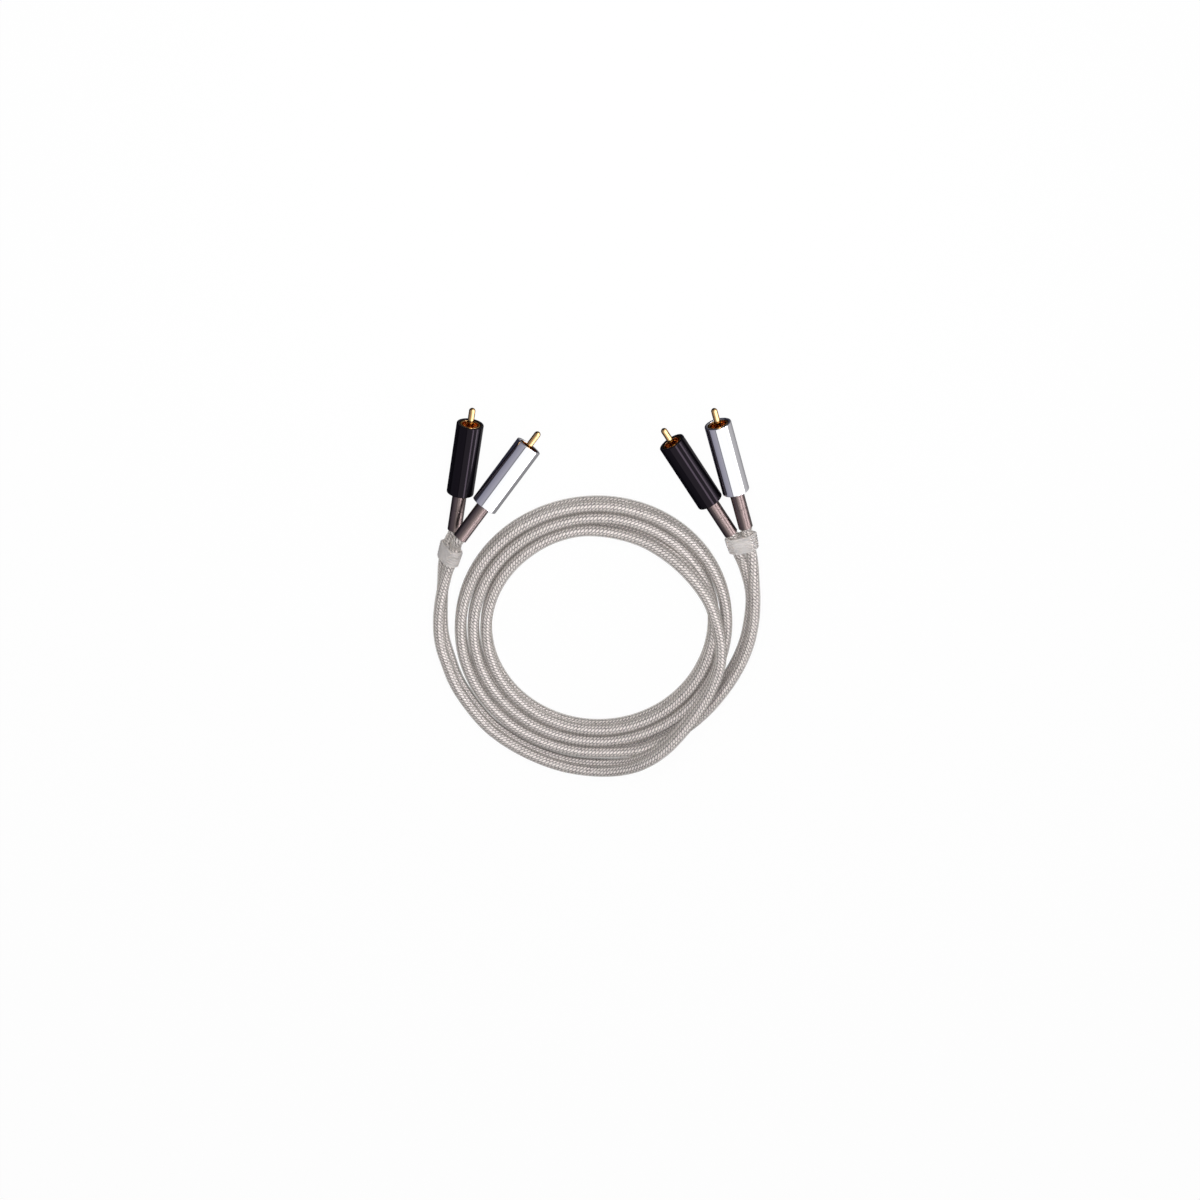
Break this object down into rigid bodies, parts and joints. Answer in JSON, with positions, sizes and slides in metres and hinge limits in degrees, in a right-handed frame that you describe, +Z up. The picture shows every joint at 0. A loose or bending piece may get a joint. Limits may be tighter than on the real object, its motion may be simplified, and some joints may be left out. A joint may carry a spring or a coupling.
{
  "type": "stereo phono cable",
  "caption": "Stereo phono cable in a flat coil: clear-jacketed braided twin cable, a splitter at each end, and black and silver plugs with gold contacts.",
  "frame": {"origin": "on the table, midway between the two ends: the middle of the box round the plugs and splitters, at its lowest level", "axes": "+Z up from the table; +X from the left end's plugs to the right end's; +Y the way the plugs point, away from the coil"},
  "size_m": [0.1659, 0.2058, 0.0244],
  "materials": {
    "black_lacquer": "gloss",
    "polished_nickel": "polished",
    "gold_plate": "polished",
    "polished_gunmetal": "polished",
    "crimp_metal": "satin",
    "insulator_plastic": "satin",
    "wire_insulation": "satin",
    "milky_moulding": "translucent, satin",
    "clear_jacket_over_braid": "clear jacket over a silver-white braid"
  },
  "bodies": {
    "root": {"left_black_shell": "black_lacquer", "left_black_collar": "gold_plate", "left_black_insulator": "insulator_plastic", "left_black_pin": "gold_plate", "left_black_sleeve": "polished_gunmetal", "left_black_crimp": "crimp_metal", "left_black_core_wire": "wire_insulation", "left_black_lead": "clear_jacket_over_braid", "left_silver_shell": "polished_nickel", "left_silver_collar": "gold_plate", "left_silver_insulator": "insulator_plastic", "left_silver_pin": "gold_plate", "left_silver_sleeve": "polished_gunmetal", "left_silver_crimp": "crimp_metal", "left_silver_core_wire": "wire_insulation", "left_silver_lead": "clear_jacket_over_braid", "left_splitter": "milky_moulding", "right_black_shell": "black_lacquer", "right_black_collar": "gold_plate", "right_black_insulator": "insulator_plastic", "right_black_pin": "gold_plate", "right_black_sleeve": "polished_gunmetal", "right_black_crimp": "crimp_metal", "right_black_core_wire": "wire_insulation", "right_black_lead": "clear_jacket_over_braid", "right_silver_shell": "polished_nickel", "right_silver_collar": "gold_plate", "right_silver_insulator": "insulator_plastic", "right_silver_pin": "gold_plate", "right_silver_sleeve": "polished_gunmetal", "right_silver_crimp": "crimp_metal", "right_silver_core_wire": "wire_insulation", "right_silver_lead": "clear_jacket_over_braid", "right_splitter": "milky_moulding", "twin_cable": "clear_jacket_over_braid"}
  },
  "joints": []
}
